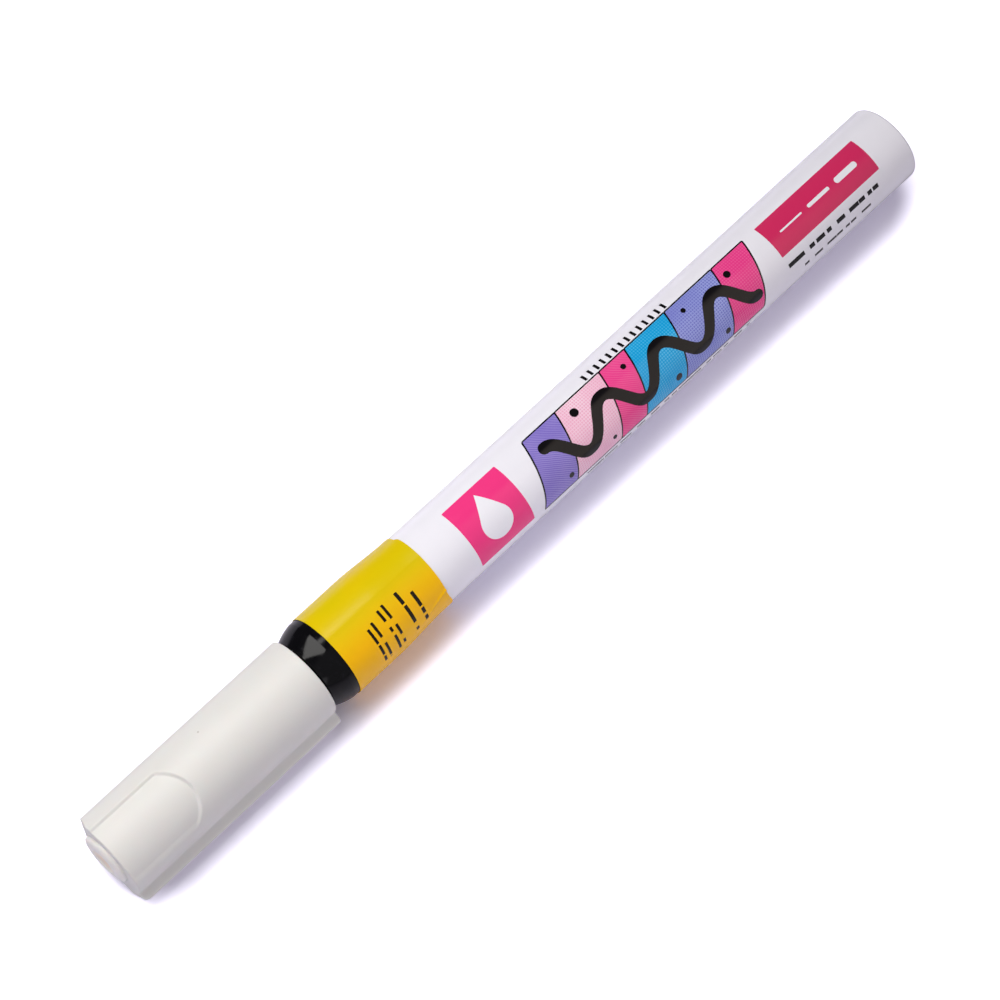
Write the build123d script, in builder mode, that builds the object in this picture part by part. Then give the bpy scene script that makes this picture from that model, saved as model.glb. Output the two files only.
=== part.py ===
"""Valve-action paint marker, capped and lying on its side: its axis is X, the cap points to -X, +Z is up.

The origin is on the axis, in the middle of the bare stretch of barrel. Millimetres.
"""
import os
from math import atan2, cos, degrees, hypot, pi, radians, sin, sqrt

from build123d import *

os.makedirs("parts", exist_ok=True)

# Barrel, a drawn aluminium can
barrel_radius = 5.75
barrel_wall = 0.40
tail_wall = 0.80
tail_round = 1.00
bare_length = 88.60  # from the seal band to the rounding of the tail

# Seal band, a film wrapped over the joint of collar and barrel
seal_length = 16.70
seal_thickness = 0.14
seal_land = 1.80  # stretch that lies flat on the barrel
film_gap = 0.02

# Front section, from its spigot in the barrel to the nose
collar_step = 0.26  # from the cap's outside out to the collar's
collar_length = 11.80  # to the start of the taper under the film
collar_showing = 3.68  # stretch between the cap and the seal band
shoulder_step = 0.35  # from the neck out to the flat that the cap's mouth faces
shoulder_length = 2.80
shoulder_mid_share = 0.64  # rise of the rounded shoulder at its middle
spigot_length = 6.00
spigot_gap = 0.02
spigot_bevel = 0.50
neck_length = 9.00
bead_length = 1.20
bead_height = 0.05
throat_length = 1.60
land_length = 3.00
nose_length = 5.00
nose_tip_wall = 0.69
nose_tip_round = 0.40
chamber_radius = 3.55
chamber_depth = 26.28
nib_channel_gap = 0.50
nib_channel_length = 6.00

# Cap shell and its rib and finger recesses
cap_radius = 5.88
cap_wall = 0.90
cap_length = 33.35
cap_end_wall = 1.30
cap_mouth_gap = 0.20  # between the mouth and the collar's shoulder
cap_slide_gap = 0.08
cap_edge_round = 0.25
bore_step_bevel = 0.40
rib_angle = -132.0  # from +Z towards +Y, so this rib points down and to -Y
rib_width = 3.80
rib_height = 1.47  # above the cap's wall
rib_edge_round = 0.35
rib_nose_round = 0.90
rib_mouth_round = 0.35
rib_root_round = 0.30
rib_root_sink = 0.02  # of the flared root into the wall
recess_turn = 108.7  # from the rib to the middle of each recess
recess_half_angle = 46.43
recess_straight = 10.10
recess_arch = 2.16
recess_depth = 0.70
recess_edge_depth = 0.36
recess_rim_bevel = 0.24

# Inner cap, a sealing cup whose boss shows at the closed end
liner_step = 0.46  # from the cap's bore in to the stretch that grips the inner cap
inner_cap_gap = 0.02
cup_wall = 1.15
cup_floor = 1.20
cup_seal_gap = 0.05
cup_mouth_gap = 0.30
boss_step = 0.85  # from the cup's outside in to the boss
boss_height = 1.40
boss_round = 0.80
dimple_rim = 0.95  # flat ring between the dimple and the boss's rounding
dimple_depth = 0.50

# Nib
nib_radius = 1.00
nib_slide_gap = 0.06
nib_showing = 4.20
nib_tip_radius = 0.55
nib_taper = 2.20

# Valve, from the seat back to the cage
seat_length = 3.00
seat_gap = 0.02
seat_flow_gap = 0.45  # round the stem, where the paint runs
seat_funnel = 0.60
lip_height = 0.30
lip_inset = 0.45  # from the gasket's edge in to the lip
lip_width = 0.35
valve_gap = 0.03  # between gasket and lip when the valve is shut
gasket_inset = 0.10  # from the stem head's edge
gasket_thickness = 0.60
gasket_gap = 0.02
stem_rod_radius = 0.90
stem_head_gap = 0.38  # to the inside of the cage
stem_head_thickness = 1.20
stem_tail_radius = 1.00
stem_tail_showing = 0.60
stem_lead = 1.00  # stretch of front rod that stands out of the seat
spring_room = 7.20
spring_inner_gap = 0.55  # round the stem's tail rod
spring_wire_radius = 0.20
spring_turns = 5
spring_seat_gap = 0.03
cage_wall = 0.60
cage_floor = 1.00
cage_guide_gap = 0.08
cage_slot_width = 1.60
cage_slot_margin = 1.40
cage_hole_radius = 0.45
cage_hole_count = 6

# Mixing ball, at the bottom of the lying barrel
ball_radius = 2.75
ball_gap = 0.05

overrun = 1.00
slack = 0.001

# Stations along the axis, from the tail to the cap's closed end
x_tail = bare_length / 2 + tail_round
x_seal_rear = -bare_length / 2
x_seal_front = x_seal_rear - seal_length
x_collar_front = x_seal_front - collar_showing
x_taper = x_collar_front + collar_length
x_collar_rear = x_seal_rear - seal_land
x_spigot_rear = x_collar_rear + spigot_length
x_neck_front = x_collar_front - neck_length
x_land_rear = x_neck_front - throat_length
x_land_front = x_land_rear - land_length
x_nose_tip = x_land_front - nose_length
x_cup_mouth = x_land_rear - cup_mouth_gap
x_nib_tip = x_nose_tip - nib_showing
x_cap_mouth = x_collar_front - cap_mouth_gap
x_cap_end = x_cap_mouth - cap_length
x_chamber_front = x_spigot_rear - chamber_depth
x_seat_rear = x_chamber_front + seat_length
x_gasket_front = x_seat_rear + lip_height + valve_gap
x_head_front = x_gasket_front + gasket_thickness
x_head_rear = x_head_front + stem_head_thickness
x_cage_floor = x_head_rear + spring_room
x_cage_rear = x_cage_floor + cage_floor
x_stem_front = x_chamber_front - stem_lead

# Radii that fit one another, from the barrel and the cap inwards
barrel_bore = barrel_radius - barrel_wall
spigot_radius = barrel_bore - spigot_gap
collar_radius = cap_radius + collar_step
cap_bore = cap_radius - cap_wall
neck_radius = cap_bore - cap_slide_gap - bead_height
shoulder_radius = neck_radius + shoulder_step
liner_bore = cap_bore - liner_step
inner_cap_radius = liner_bore - inner_cap_gap
boss_radius = inner_cap_radius - boss_step
dimple_radius = boss_radius - boss_round - dimple_rim
cup_bore = inner_cap_radius - cup_wall
land_radius = cup_bore - cup_seal_gap
nib_bore = nib_radius + nib_slide_gap
nib_channel_radius = nib_radius + nib_channel_gap
nose_tip_radius = nib_bore + nose_tip_wall
rib_reach = cap_radius + rib_height
recess_half_width = cap_radius * sin(radians(recess_half_angle))
cage_radius = chamber_radius - seat_gap
cage_inner_radius = cage_radius - cage_wall
stem_head_radius = cage_inner_radius - stem_head_gap
gasket_radius = stem_head_radius - gasket_inset
lip_outer_radius = gasket_radius - lip_inset
lip_inner_radius = lip_outer_radius - lip_width
seat_hole_radius = stem_rod_radius + seat_flow_gap
spring_mean_radius = stem_tail_radius + spring_wire_radius + spring_inner_gap


def outward(angle):
    """Direction square to the axis, turned from +Z towards +Y."""
    return Vector(0, sin(radians(angle)), cos(radians(angle)))


def along_axis(angle):
    """Plane through the axis, with X along it and Y pointing outward at that angle."""
    return Plane(origin=(0, 0, 0), x_dir=(1, 0, 0), z_dir=outward(angle - 90))


def corner_waste(x_face, inward, top, radius):
    """Sketch of what a rounding takes off the corner between an end face and a straight top."""
    with BuildSketch(mode=Mode.PRIVATE) as waste:
        with BuildLine():
            sides = Polyline(
                (x_face, top - radius),
                (x_face - inward * overrun, top - radius),
                (x_face - inward * overrun, top + overrun),
                (x_face + inward * radius, top + overrun),
                (x_face + inward * radius, top),
            )
            RadiusArc(sides @ 0, sides @ 1, inward * radius)
        make_face()
    return waste.sketch


def finish(builder, name):
    """Labels a piece and writes it to its own file."""
    builder.part.label = name
    export_step(builder.part, f"parts/{name}.step")


# Barrel: open at the collar, closed and rounded at the tail
with BuildPart() as barrel:
    with BuildSketch():
        with BuildLine():
            rim = Polyline(
                (x_collar_rear, barrel_bore),
                (x_collar_rear, barrel_radius),
                (x_tail - tail_round, barrel_radius),
            )
            bend = RadiusArc(rim @ 1, (x_tail, barrel_radius - tail_round), tail_round)
            Polyline(
                bend @ 1,
                (x_tail, 0),
                (x_tail - tail_wall, 0),
                (x_tail - tail_wall, barrel_bore - tail_round / 2),
                (x_tail - tail_wall - tail_round / 2, barrel_bore),
                rim @ 0,
            )
        make_face()
    revolve(axis=Axis.X)
finish(barrel, "barrel")

# Seal band: follows the collar and its taper down to the barrel
seal_on_collar = collar_radius + film_gap
seal_on_barrel = barrel_radius + film_gap
with BuildPart() as seal_band:
    with BuildSketch():
        with BuildLine():
            under = Polyline(
                (x_seal_front, seal_on_collar),
                (x_taper, seal_on_collar),
                (x_collar_rear, seal_on_barrel),
                (x_seal_rear, seal_on_barrel),
            )
            over = Polyline(
                (x_seal_rear, seal_on_barrel + seal_thickness),
                (x_collar_rear, seal_on_barrel + seal_thickness),
                (x_taper, seal_on_collar + seal_thickness),
                (x_seal_front, seal_on_collar + seal_thickness),
            )
            Line(under @ 1, over @ 0)
            Line(over @ 1, under @ 0)
        make_face()
    revolve(axis=Axis.X)
finish(seal_band, "seal_band")

# Front section: nose, sealing land, cap neck with its bead, collar and spigot, bored for nib and valve
x_bead = x_collar_front - neck_length / 2
shoulder_rise = collar_radius - shoulder_radius
with BuildPart() as front_section:
    with BuildSketch():
        with BuildLine():
            nose = Polyline((x_nose_tip, nib_bore), (x_nose_tip, nose_tip_radius - nose_tip_round))
            tip = RadiusArc(nose @ 1, (x_nose_tip + nose_tip_round, nose_tip_radius), nose_tip_round)
            neck = Polyline(
                tip @ 1,
                (x_land_front, land_radius),
                (x_land_rear, land_radius),
                (x_neck_front, neck_radius),
                (x_bead - bead_length / 2, neck_radius),
            )
            bead = ThreePointArc(
                neck @ 1,
                (x_bead, neck_radius + bead_height),
                (x_bead + bead_length / 2, neck_radius),
            )
            foot = Polyline(bead @ 1, (x_collar_front, neck_radius), (x_collar_front, shoulder_radius))
            shoulder = ThreePointArc(
                foot @ 1,
                (x_collar_front + shoulder_length / 2, shoulder_radius + shoulder_rise * shoulder_mid_share),
                (x_collar_front + shoulder_length, collar_radius),
            )
            Polyline(
                shoulder @ 1,
                (x_taper, collar_radius),
                (x_collar_rear, barrel_radius),
                (x_collar_rear, spigot_radius),
                (x_spigot_rear - spigot_bevel, spigot_radius),
                (x_spigot_rear, spigot_radius - spigot_bevel),
                (x_spigot_rear, chamber_radius),
                (x_chamber_front, chamber_radius),
                (x_chamber_front, nib_channel_radius),
                (x_chamber_front - nib_channel_length, nib_channel_radius),
                (x_chamber_front - nib_channel_length, nib_bore),
                nose @ 0,
            )
        make_face()
    revolve(axis=Axis.X)
finish(front_section, "front_section")

# Cutter for one finger recess: an arched outline with a floor flatter than the cap's wall
recess_floor_top = cap_radius - recess_depth
recess_floor_edge = sqrt(cap_radius**2 - recess_half_width**2) - recess_edge_depth
recess_sag = recess_floor_top - recess_floor_edge
recess_floor_radius = (recess_half_width**2 + recess_sag**2) / (2 * recess_sag)
x_recess_shoulder = x_cap_end + recess_straight
with BuildPart() as recess_cutter:
    with BuildSketch():
        with BuildLine():
            near = Polyline(
                (x_recess_shoulder, -recess_half_width),
                (x_cap_end - overrun, -recess_half_width),
                (x_cap_end - overrun, recess_half_width),
                (x_recess_shoulder, recess_half_width),
            )
            ThreePointArc(near @ 1, (x_recess_shoulder + recess_arch, 0), near @ 0)
        make_face()
    extrude(amount=cap_radius + overrun)
    with BuildSketch(Plane.YZ.offset(x_cap_end - 2 * overrun)):
        with Locations((0, recess_floor_top - recess_floor_radius)):
            Circle(recess_floor_radius)
    extrude(amount=recess_straight + recess_arch + 4 * overrun, mode=Mode.SUBTRACT)

# Rib along the cap: a section with a rounded crest and flared roots, then both ends rounded off
rib_side = rib_width / 2
rib_root = cap_bore + cap_wall / 2
flare_reach = sqrt((cap_radius + rib_root_round) ** 2 - (rib_side + rib_root_round) ** 2)
flare_centre = Vector(rib_side + rib_root_round, flare_reach - rib_root_sink)
toe = flare_centre - flare_centre.normalized() * rib_root_round
foot = toe.normalized() * rib_root
rib_section = Plane(origin=(x_cap_end, 0, 0), x_dir=outward(rib_angle + 90), z_dir=(1, 0, 0))
with BuildPart() as rib:
    with BuildSketch(rib_section):
        with BuildLine():
            near_root = Line((-foot.X, foot.Y), (-toe.X, toe.Y))
            near_flare = RadiusArc(near_root @ 1, (-rib_side, flare_centre.Y), -rib_root_round)
            crest = FilletPolyline(
                near_flare @ 1,
                (-rib_side, rib_reach),
                (rib_side, rib_reach),
                (rib_side, flare_centre.Y),
                radius=rib_edge_round,
            )
            far_flare = RadiusArc(crest @ 1, (toe.X, toe.Y), -rib_root_round)
            far_root = Line(far_flare @ 1, (foot.X, foot.Y))
            ThreePointArc(far_root @ 1, (0, rib_root), near_root @ 0)
        make_face()
    extrude(amount=cap_length)
    with BuildSketch(along_axis(rib_angle)):
        add(corner_waste(x_cap_end, 1, rib_reach, rib_nose_round))
        add(corner_waste(x_cap_mouth, -1, rib_reach, rib_mouth_round))
    extrude(amount=rib_width, both=True, mode=Mode.SUBTRACT)

# Cutter that rounds the cap's two outer edges, all the way round from one side of the rib to the other
rib_half_angle = degrees(atan2(toe.X, toe.Y))
with BuildPart() as edge_cutter:
    with BuildSketch(along_axis(rib_angle + rib_half_angle)):
        add(corner_waste(x_cap_end, 1, cap_radius, cap_edge_round))
        add(corner_waste(x_cap_mouth, -1, cap_radius, cap_edge_round))
    revolve(axis=Axis.X, revolution_arc=-(360 - 2 * rib_half_angle))


def on_cap_wall(edge):
    """True for an edge that lies on the cap's round outside."""
    return all(abs(hypot(p.Y, p.Z) - cap_radius) < slack for p in (edge @ 0, edge @ 0.5, edge @ 1))


# Cap shell: bored for the neck and the inner cap, with the rib and two recesses either side of it
with BuildPart() as cap_shell:
    with BuildSketch():
        with BuildLine():
            Polyline(
                (x_cap_end, cap_radius),
                (x_cap_mouth, cap_radius),
                (x_cap_mouth, cap_bore),
                (x_cup_mouth, cap_bore),
                (x_cup_mouth - bore_step_bevel, liner_bore),
                (x_cap_end + cap_end_wall, liner_bore),
                (x_cap_end + cap_end_wall, boss_radius + inner_cap_gap),
                (x_cap_end, boss_radius + inner_cap_gap),
                close=True,
            )
        make_face()
    revolve(axis=Axis.X)
    add(rib.part)
    for side in (-1, 1):
        add(recess_cutter.part.rotate(Axis.X, -(rib_angle + side * recess_turn)), mode=Mode.SUBTRACT)
        rims = edges(Select.LAST).filter_by(on_cap_wall).filter_by(GeomType.CIRCLE, reverse=True)
        chamfer(rims, recess_rim_bevel)
    add(edge_cutter.part, mode=Mode.SUBTRACT)
finish(cap_shell, "cap_shell")

# Inner cap: cup with the boss that passes through the cap's end wall
x_boss_end = x_cap_end - boss_height
x_cup_floor = x_cap_end + cap_end_wall + cup_floor
with BuildPart() as inner_cap:
    with BuildSketch():
        with BuildLine():
            dimple = Polyline(
                (x_boss_end + dimple_depth, 0),
                (x_boss_end + dimple_depth, dimple_radius - dimple_depth),
                (x_boss_end, dimple_radius),
                (x_boss_end, boss_radius - boss_round),
            )
            crown = RadiusArc(dimple @ 1, (x_boss_end + boss_round, boss_radius), boss_round)
            Polyline(
                crown @ 1,
                (x_cap_end + cap_end_wall, boss_radius),
                (x_cap_end + cap_end_wall, inner_cap_radius),
                (x_cup_mouth, inner_cap_radius),
                (x_cup_mouth, cup_bore),
                (x_cup_floor, cup_bore),
                (x_cup_floor, 0),
                dimple @ 0,
            )
        make_face()
    revolve(axis=Axis.X)
finish(inner_cap, "inner_cap")

# Nib: a rod with a tapered bullet tip
with BuildPart() as nib:
    with BuildSketch():
        with BuildLine():
            point = ThreePointArc(
                (x_nib_tip, 0),
                (x_nib_tip + nib_tip_radius * (1 - cos(pi / 4)), nib_tip_radius * sin(pi / 4)),
                (x_nib_tip + nib_tip_radius, nib_tip_radius),
            )
            Polyline(
                point @ 1,
                (x_nib_tip + nib_taper, nib_radius),
                (x_stem_front, nib_radius),
                (x_stem_front, 0),
                (x_nib_tip, 0),
            )
        make_face()
    revolve(axis=Axis.X)
finish(nib, "nib")

# Valve seat: a plug with a funnel towards the nib and a sealing lip towards the gasket
with BuildPart() as valve_seat:
    with BuildSketch():
        with BuildLine():
            Polyline(
                (x_chamber_front, seat_hole_radius + seat_funnel),
                (x_chamber_front, chamber_radius - seat_gap),
                (x_seat_rear, chamber_radius - seat_gap),
                (x_seat_rear, lip_outer_radius),
                (x_seat_rear + lip_height, lip_outer_radius),
                (x_seat_rear + lip_height, lip_inner_radius),
                (x_seat_rear, lip_inner_radius),
                (x_seat_rear, seat_hole_radius),
                (x_chamber_front + seat_funnel, seat_hole_radius),
                close=True,
            )
        make_face()
    revolve(axis=Axis.X)
finish(valve_seat, "valve_seat")

# Valve gasket: a washer on the stem
with BuildPart() as valve_gasket:
    with BuildSketch(Plane.YZ.offset(x_gasket_front)):
        Circle(gasket_radius)
        Circle(stem_rod_radius + gasket_gap, mode=Mode.SUBTRACT)
    extrude(amount=gasket_thickness)
finish(valve_gasket, "valve_gasket")

# Valve stem: front rod, head behind the gasket, tail rod through the spring and the cage's floor
with BuildPart() as valve_stem:
    with BuildSketch():
        with BuildLine():
            Polyline(
                (x_stem_front, 0),
                (x_stem_front, stem_rod_radius),
                (x_head_front, stem_rod_radius),
                (x_head_front, stem_head_radius),
                (x_head_rear, stem_head_radius),
                (x_head_rear, stem_tail_radius),
                (x_cage_rear + stem_tail_showing, stem_tail_radius),
                (x_cage_rear + stem_tail_showing, 0),
                close=True,
            )
        make_face()
    revolve(axis=Axis.X)
finish(valve_stem, "valve_stem")

# Valve cage: a cup round the spring, slotted down its sides and pierced at its floor to let paint through
cage_guide_radius = stem_tail_radius + cage_guide_gap
cage_hole_ring = (cage_guide_radius + cage_inner_radius) / 2
x_slot_front = x_seat_rear + cage_slot_margin
x_slot_rear = x_cage_floor - cage_slot_margin
with BuildPart() as valve_cage:
    with BuildSketch(Plane.YZ.offset(x_seat_rear)):
        Circle(cage_radius)
    extrude(amount=x_cage_rear - x_seat_rear)
    with BuildSketch(Plane.YZ.offset(x_seat_rear)):
        Circle(cage_inner_radius)
    extrude(amount=x_cage_floor - x_seat_rear, mode=Mode.SUBTRACT)
    with BuildSketch(Plane.YZ.offset(x_cage_floor)):
        Circle(cage_guide_radius)
        with PolarLocations(cage_hole_ring, cage_hole_count):
            Circle(cage_hole_radius)
    extrude(amount=cage_floor, mode=Mode.SUBTRACT)
    for slot_plane in (Plane.XY, Plane.XZ):
        with BuildSketch(slot_plane):
            with Locations(((x_slot_front + x_slot_rear) / 2, 0)):
                SlotOverall(x_slot_rear - x_slot_front, cage_slot_width)
        extrude(amount=cage_radius + overrun, both=True, mode=Mode.SUBTRACT)
finish(valve_cage, "valve_cage")

# Valve spring: one unbroken wire round the stem's tail rod, each quarter turn a pair of tangent arcs
x_wire_start = x_head_rear + spring_wire_radius + spring_seat_gap
x_wire_end = x_cage_floor - spring_wire_radius - spring_seat_gap
spring_pitch = (x_wire_end - x_wire_start) / spring_turns
quarter_turns = 4 * spring_turns


def wire_point(turn):
    """Point on the wire's centre line after some turns."""
    angle = 2 * pi * turn
    return Vector(
        x_wire_start + spring_pitch * turn,
        spring_mean_radius * cos(angle),
        spring_mean_radius * sin(angle),
    )


def wire_heading(turn):
    """Unit tangent of the wire's centre line after some turns."""
    angle = 2 * pi * turn
    around = 2 * pi * spring_mean_radius
    return Vector(spring_pitch, -around * sin(angle), around * cos(angle)).normalized()


with BuildPart() as valve_spring:
    with BuildLine() as wire_path:
        for quarter in range(quarter_turns):
            start = wire_point(quarter / 4)
            end = wire_point((quarter + 1) / 4)
            start_heading = wire_heading(quarter / 4)
            end_heading = wire_heading((quarter + 1) / 4)
            chord = end - start
            both = start_heading + end_heading
            spread = 2 * (1 - start_heading.dot(end_heading))
            reach = (sqrt(chord.dot(both) ** 2 + spread * chord.dot(chord)) - chord.dot(both)) / spread
            middle = (start + end + (start_heading - end_heading) * reach) * 0.5
            TangentArc(start, middle, tangent=start_heading)
            middle_heading = (end - end_heading * reach) - (start + start_heading * reach)
            TangentArc(middle, end, tangent=middle_heading.normalized())
    with BuildSketch(Plane(origin=wire_point(0), z_dir=wire_heading(0))):
        Circle(spring_wire_radius)
    sweep()
finish(valve_spring, "valve_spring")

samples_per_turn = 60
spring_points = [wire_point(i / samples_per_turn) for i in range(spring_turns * samples_per_turn + 1)]
least_gap = min(
    (spring_points[i] - spring_points[j]).length
    for i in range(len(spring_points))
    for j in range(i + samples_per_turn // 2, len(spring_points))
) - 2 * spring_wire_radius
print(f"valve_spring least gap to itself {least_gap:.2f} mm")

# Mixing ball: lies at the bottom of the barrel
with BuildPart() as mixing_ball:
    with Locations((0, 0, -(barrel_bore - ball_radius - ball_gap))):
        Sphere(ball_radius)
finish(mixing_ball, "mixing_ball")
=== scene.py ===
import math
import bmesh
import bpy
from mathutils import Matrix, Vector


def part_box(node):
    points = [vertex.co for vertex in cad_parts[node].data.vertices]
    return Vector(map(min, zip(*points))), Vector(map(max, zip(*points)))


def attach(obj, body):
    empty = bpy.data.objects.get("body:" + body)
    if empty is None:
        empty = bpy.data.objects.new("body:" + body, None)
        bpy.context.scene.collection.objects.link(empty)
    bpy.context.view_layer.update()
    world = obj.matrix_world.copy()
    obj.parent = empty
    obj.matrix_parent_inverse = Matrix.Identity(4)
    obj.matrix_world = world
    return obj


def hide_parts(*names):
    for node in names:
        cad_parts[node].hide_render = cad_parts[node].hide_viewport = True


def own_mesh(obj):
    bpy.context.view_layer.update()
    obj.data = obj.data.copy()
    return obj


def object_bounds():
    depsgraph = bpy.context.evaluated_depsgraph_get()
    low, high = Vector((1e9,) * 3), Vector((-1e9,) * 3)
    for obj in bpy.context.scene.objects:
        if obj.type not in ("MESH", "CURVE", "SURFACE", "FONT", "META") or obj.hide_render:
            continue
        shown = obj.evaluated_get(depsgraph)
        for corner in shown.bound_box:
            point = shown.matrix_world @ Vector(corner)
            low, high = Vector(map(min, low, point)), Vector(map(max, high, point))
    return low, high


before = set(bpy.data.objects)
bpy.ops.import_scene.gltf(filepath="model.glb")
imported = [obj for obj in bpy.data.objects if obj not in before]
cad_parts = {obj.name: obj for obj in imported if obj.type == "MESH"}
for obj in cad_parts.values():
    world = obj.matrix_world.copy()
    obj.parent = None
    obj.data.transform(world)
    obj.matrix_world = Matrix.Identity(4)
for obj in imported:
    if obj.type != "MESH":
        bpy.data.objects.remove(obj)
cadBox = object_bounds()
mm = 0.001
print("frame loaded:", len(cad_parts), "nodes")


def linear(hexColour):
    channels = [int(hexColour[i:i + 2], 16) / 255 for i in (0, 2, 4)]
    return tuple(c / 12.92 if c <= 0.04045 else ((c + 0.055) / 1.055) ** 2.4 for c in channels) + (1.0,)


def addNode(tree, kind, inputs=(), output=0, **settings):
    # inputs stand in the node's own order, or under a socket's name or number (6 and 7 are a mix's colours)
    node = tree.nodes.new(kind)
    for name, value in settings.items():
        setattr(node, name, value)
    for socket, value in inputs.items() if isinstance(inputs, dict) else enumerate(inputs):
        if isinstance(value, bpy.types.NodeSocket):
            tree.links.new(value, node.inputs[socket])
        else:
            node.inputs[socket].default_value = value
    return node.outputs[output]


def startMaterial(name, **sockets):
    material = bpy.data.materials.new(name)
    material.use_nodes = True
    shader = material.node_tree.nodes["Principled BSDF"]
    for socket, value in sockets.items():
        shader.inputs[socket.replace("_", " ")].default_value = value
    return material, material.node_tree, shader


def reachPast(tree, place, middle, half):
    # distance from a box, zero inside it
    moved = addNode(tree, "ShaderNodeVectorMath", (place, middle), operation="SUBTRACT")
    folded = addNode(tree, "ShaderNodeVectorMath", (moved,), operation="ABSOLUTE")
    past = addNode(tree, "ShaderNodeVectorMath", (folded, half), operation="SUBTRACT")
    outside = addNode(tree, "ShaderNodeVectorMath", (past, (0, 0, 0)), operation="MAXIMUM")
    return addNode(tree, "ShaderNodeVectorMath", (outside,), output="Value", operation="LENGTH")


# camera at the photograph's viewing angle
cameraLook = {
    "elevation": 65.11,  # degrees above the floor
    "turn": -45.43,  # of the picture's right-hand side from +X
    "place": (-158.26, -126.79, 388.31),
    "lens": 118.8,
    "sensor": 36.0,
    "clip": (0.01, 20),  # metres
}


def addCamera():
    tilt = math.radians(cameraLook["elevation"])
    turn = math.radians(cameraLook["turn"])
    right = Vector((math.cos(turn), math.sin(turn), 0))
    back = Vector((math.sin(turn) * math.cos(tilt), -math.cos(turn) * math.cos(tilt), math.sin(tilt)))
    up = back.cross(right)
    data = bpy.data.cameras.new("camera")
    data.lens = cameraLook["lens"]
    data.sensor_width = cameraLook["sensor"]
    data.clip_start, data.clip_end = cameraLook["clip"]
    camera = bpy.data.objects.new("camera", data)
    turned = Matrix((right, up, back)).transposed().to_4x4()
    camera.matrix_world = Matrix.Translation(Vector(cameraLook["place"]) * mm) @ turned
    bpy.context.scene.collection.objects.link(camera)
    bpy.context.scene.camera = camera


# floor and lights of a small product table
studio = {
    "floorSize": 4000.0,
    "paperGain": (1.10, 1.08, 1.24),  # the paper is overexposed, as in a product shot
    "tableDrop": 0.05,  # of the unseen table under the paper
    "glowColour": "E6E3F2",
    "glow": 0.9,  # away from the marker, so the paper is white up to the shadow
    "glowReach": (6.6, 11.0),
    "glowLine": (-26.5, 64.5),  # middle and half length of the shadow's line
    "bounceColour": "E4E1F0",  # what the marker gets back from the table
    "skyDark": "B9B4CC",
    "skyDarkStrength": 0.12,
    "skyFront": "F0EDF4",  # brighter room on the -Y side
    "skyFrontStrength": 0.38,
    "skyEdge": (-0.05, 0.30),
}
lamps = {  # place, aim, size, power, colour
    "softbox": ((-95, 73, 200), (-30, 0, 0), (165, 165), 0.50, "FFFDFA"),
    "fillPanel": ((-300, -200, 70), (-50, 0, 0), (200, 140), 0.09, "FBF9FF"),
    # shows in the gloss of the black ink
    "warmCard": ((100, -180, 162), (100, 0, 0), (100, 450), 0.05, "FFE6CB"),
    # lift the barrel's shaded side and its far end
    "sideCard": ((-20, -72, 10), (-20, 0, 0), (44, 22), 0.005, "FBF9FF"),
    "tailCard": ((75, 110, 90), (32, 0, 0), (60, 60), 0.020, "FFFFFF"),
}
noGlint = ("sideCard", "tailCard")  # these light the marker but don't mirror in it


def addLamp(name, place, aim, size, power, colour):
    data = bpy.data.lights.new(name, "AREA")
    data.shape = "RECTANGLE"
    data.size = size[0] * mm
    data.size_y = size[1] * mm
    data.energy = power
    data.color = linear(colour)[:3]
    lamp = bpy.data.objects.new(name, data)
    lamp.location = Vector(place) * mm
    lamp.rotation_mode = "QUATERNION"
    lamp.rotation_quaternion = (Vector(aim) - Vector(place)).to_track_quat("-Z", "Y")
    lamp.visible_camera = False
    lamp.visible_glossy = name not in noGlint
    bpy.context.scene.collection.objects.link(lamp)


def whitePaper():
    # overexposed white paper: clean white, only the shadow beside the marker shows
    material, tree, shader = startMaterial("whitePaper", Roughness=0.9, Specular_IOR_Level=0.0)
    shader.inputs["Base Color"].default_value = (*studio["paperGain"], 1.0)
    shader.inputs["Emission Color"].default_value = linear(studio["glowColour"])
    middle, half = studio["glowLine"]
    near, far = studio["glowReach"]
    place = addNode(tree, "ShaderNodeTexCoord", output="Object")
    reach = reachPast(tree, place, (middle * mm, 0, cadBox[0].z), (half * mm, 0, 0))
    glow = addNode(tree, "ShaderNodeMapRange", (reach, near * mm, far * mm, 0.0, studio["glow"]),
                   interpolation_type="SMOOTHSTEP")
    tree.links.new(glow, shader.inputs["Emission Strength"])
    return material


def tableTop():
    # the same table as the marker sees it, in its true brightness
    bounce = linear(studio["bounceColour"])
    return startMaterial("tableTop", Base_Color=bounce, Roughness=0.9, Specular_IOR_Level=0.0)[0]


def addSheet(name, material, drop, seen):
    bm = bmesh.new()
    bmesh.ops.create_grid(bm, x_segments=1, y_segments=1, size=studio["floorSize"] * mm / 2)
    bmesh.ops.translate(bm, vec=(0, 0, cadBox[0].z - drop * mm), verts=bm.verts)
    mesh = bpy.data.meshes.new(name)
    bm.to_mesh(mesh)
    bm.free()
    mesh.materials.append(material)
    sheet = bpy.data.objects.new(name, mesh)
    bpy.context.scene.collection.objects.link(sheet)
    sheet.visible_camera = seen
    sheet.visible_diffuse = sheet.visible_glossy = sheet.visible_transmission = not seen
    sheet.visible_shadow = False


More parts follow.
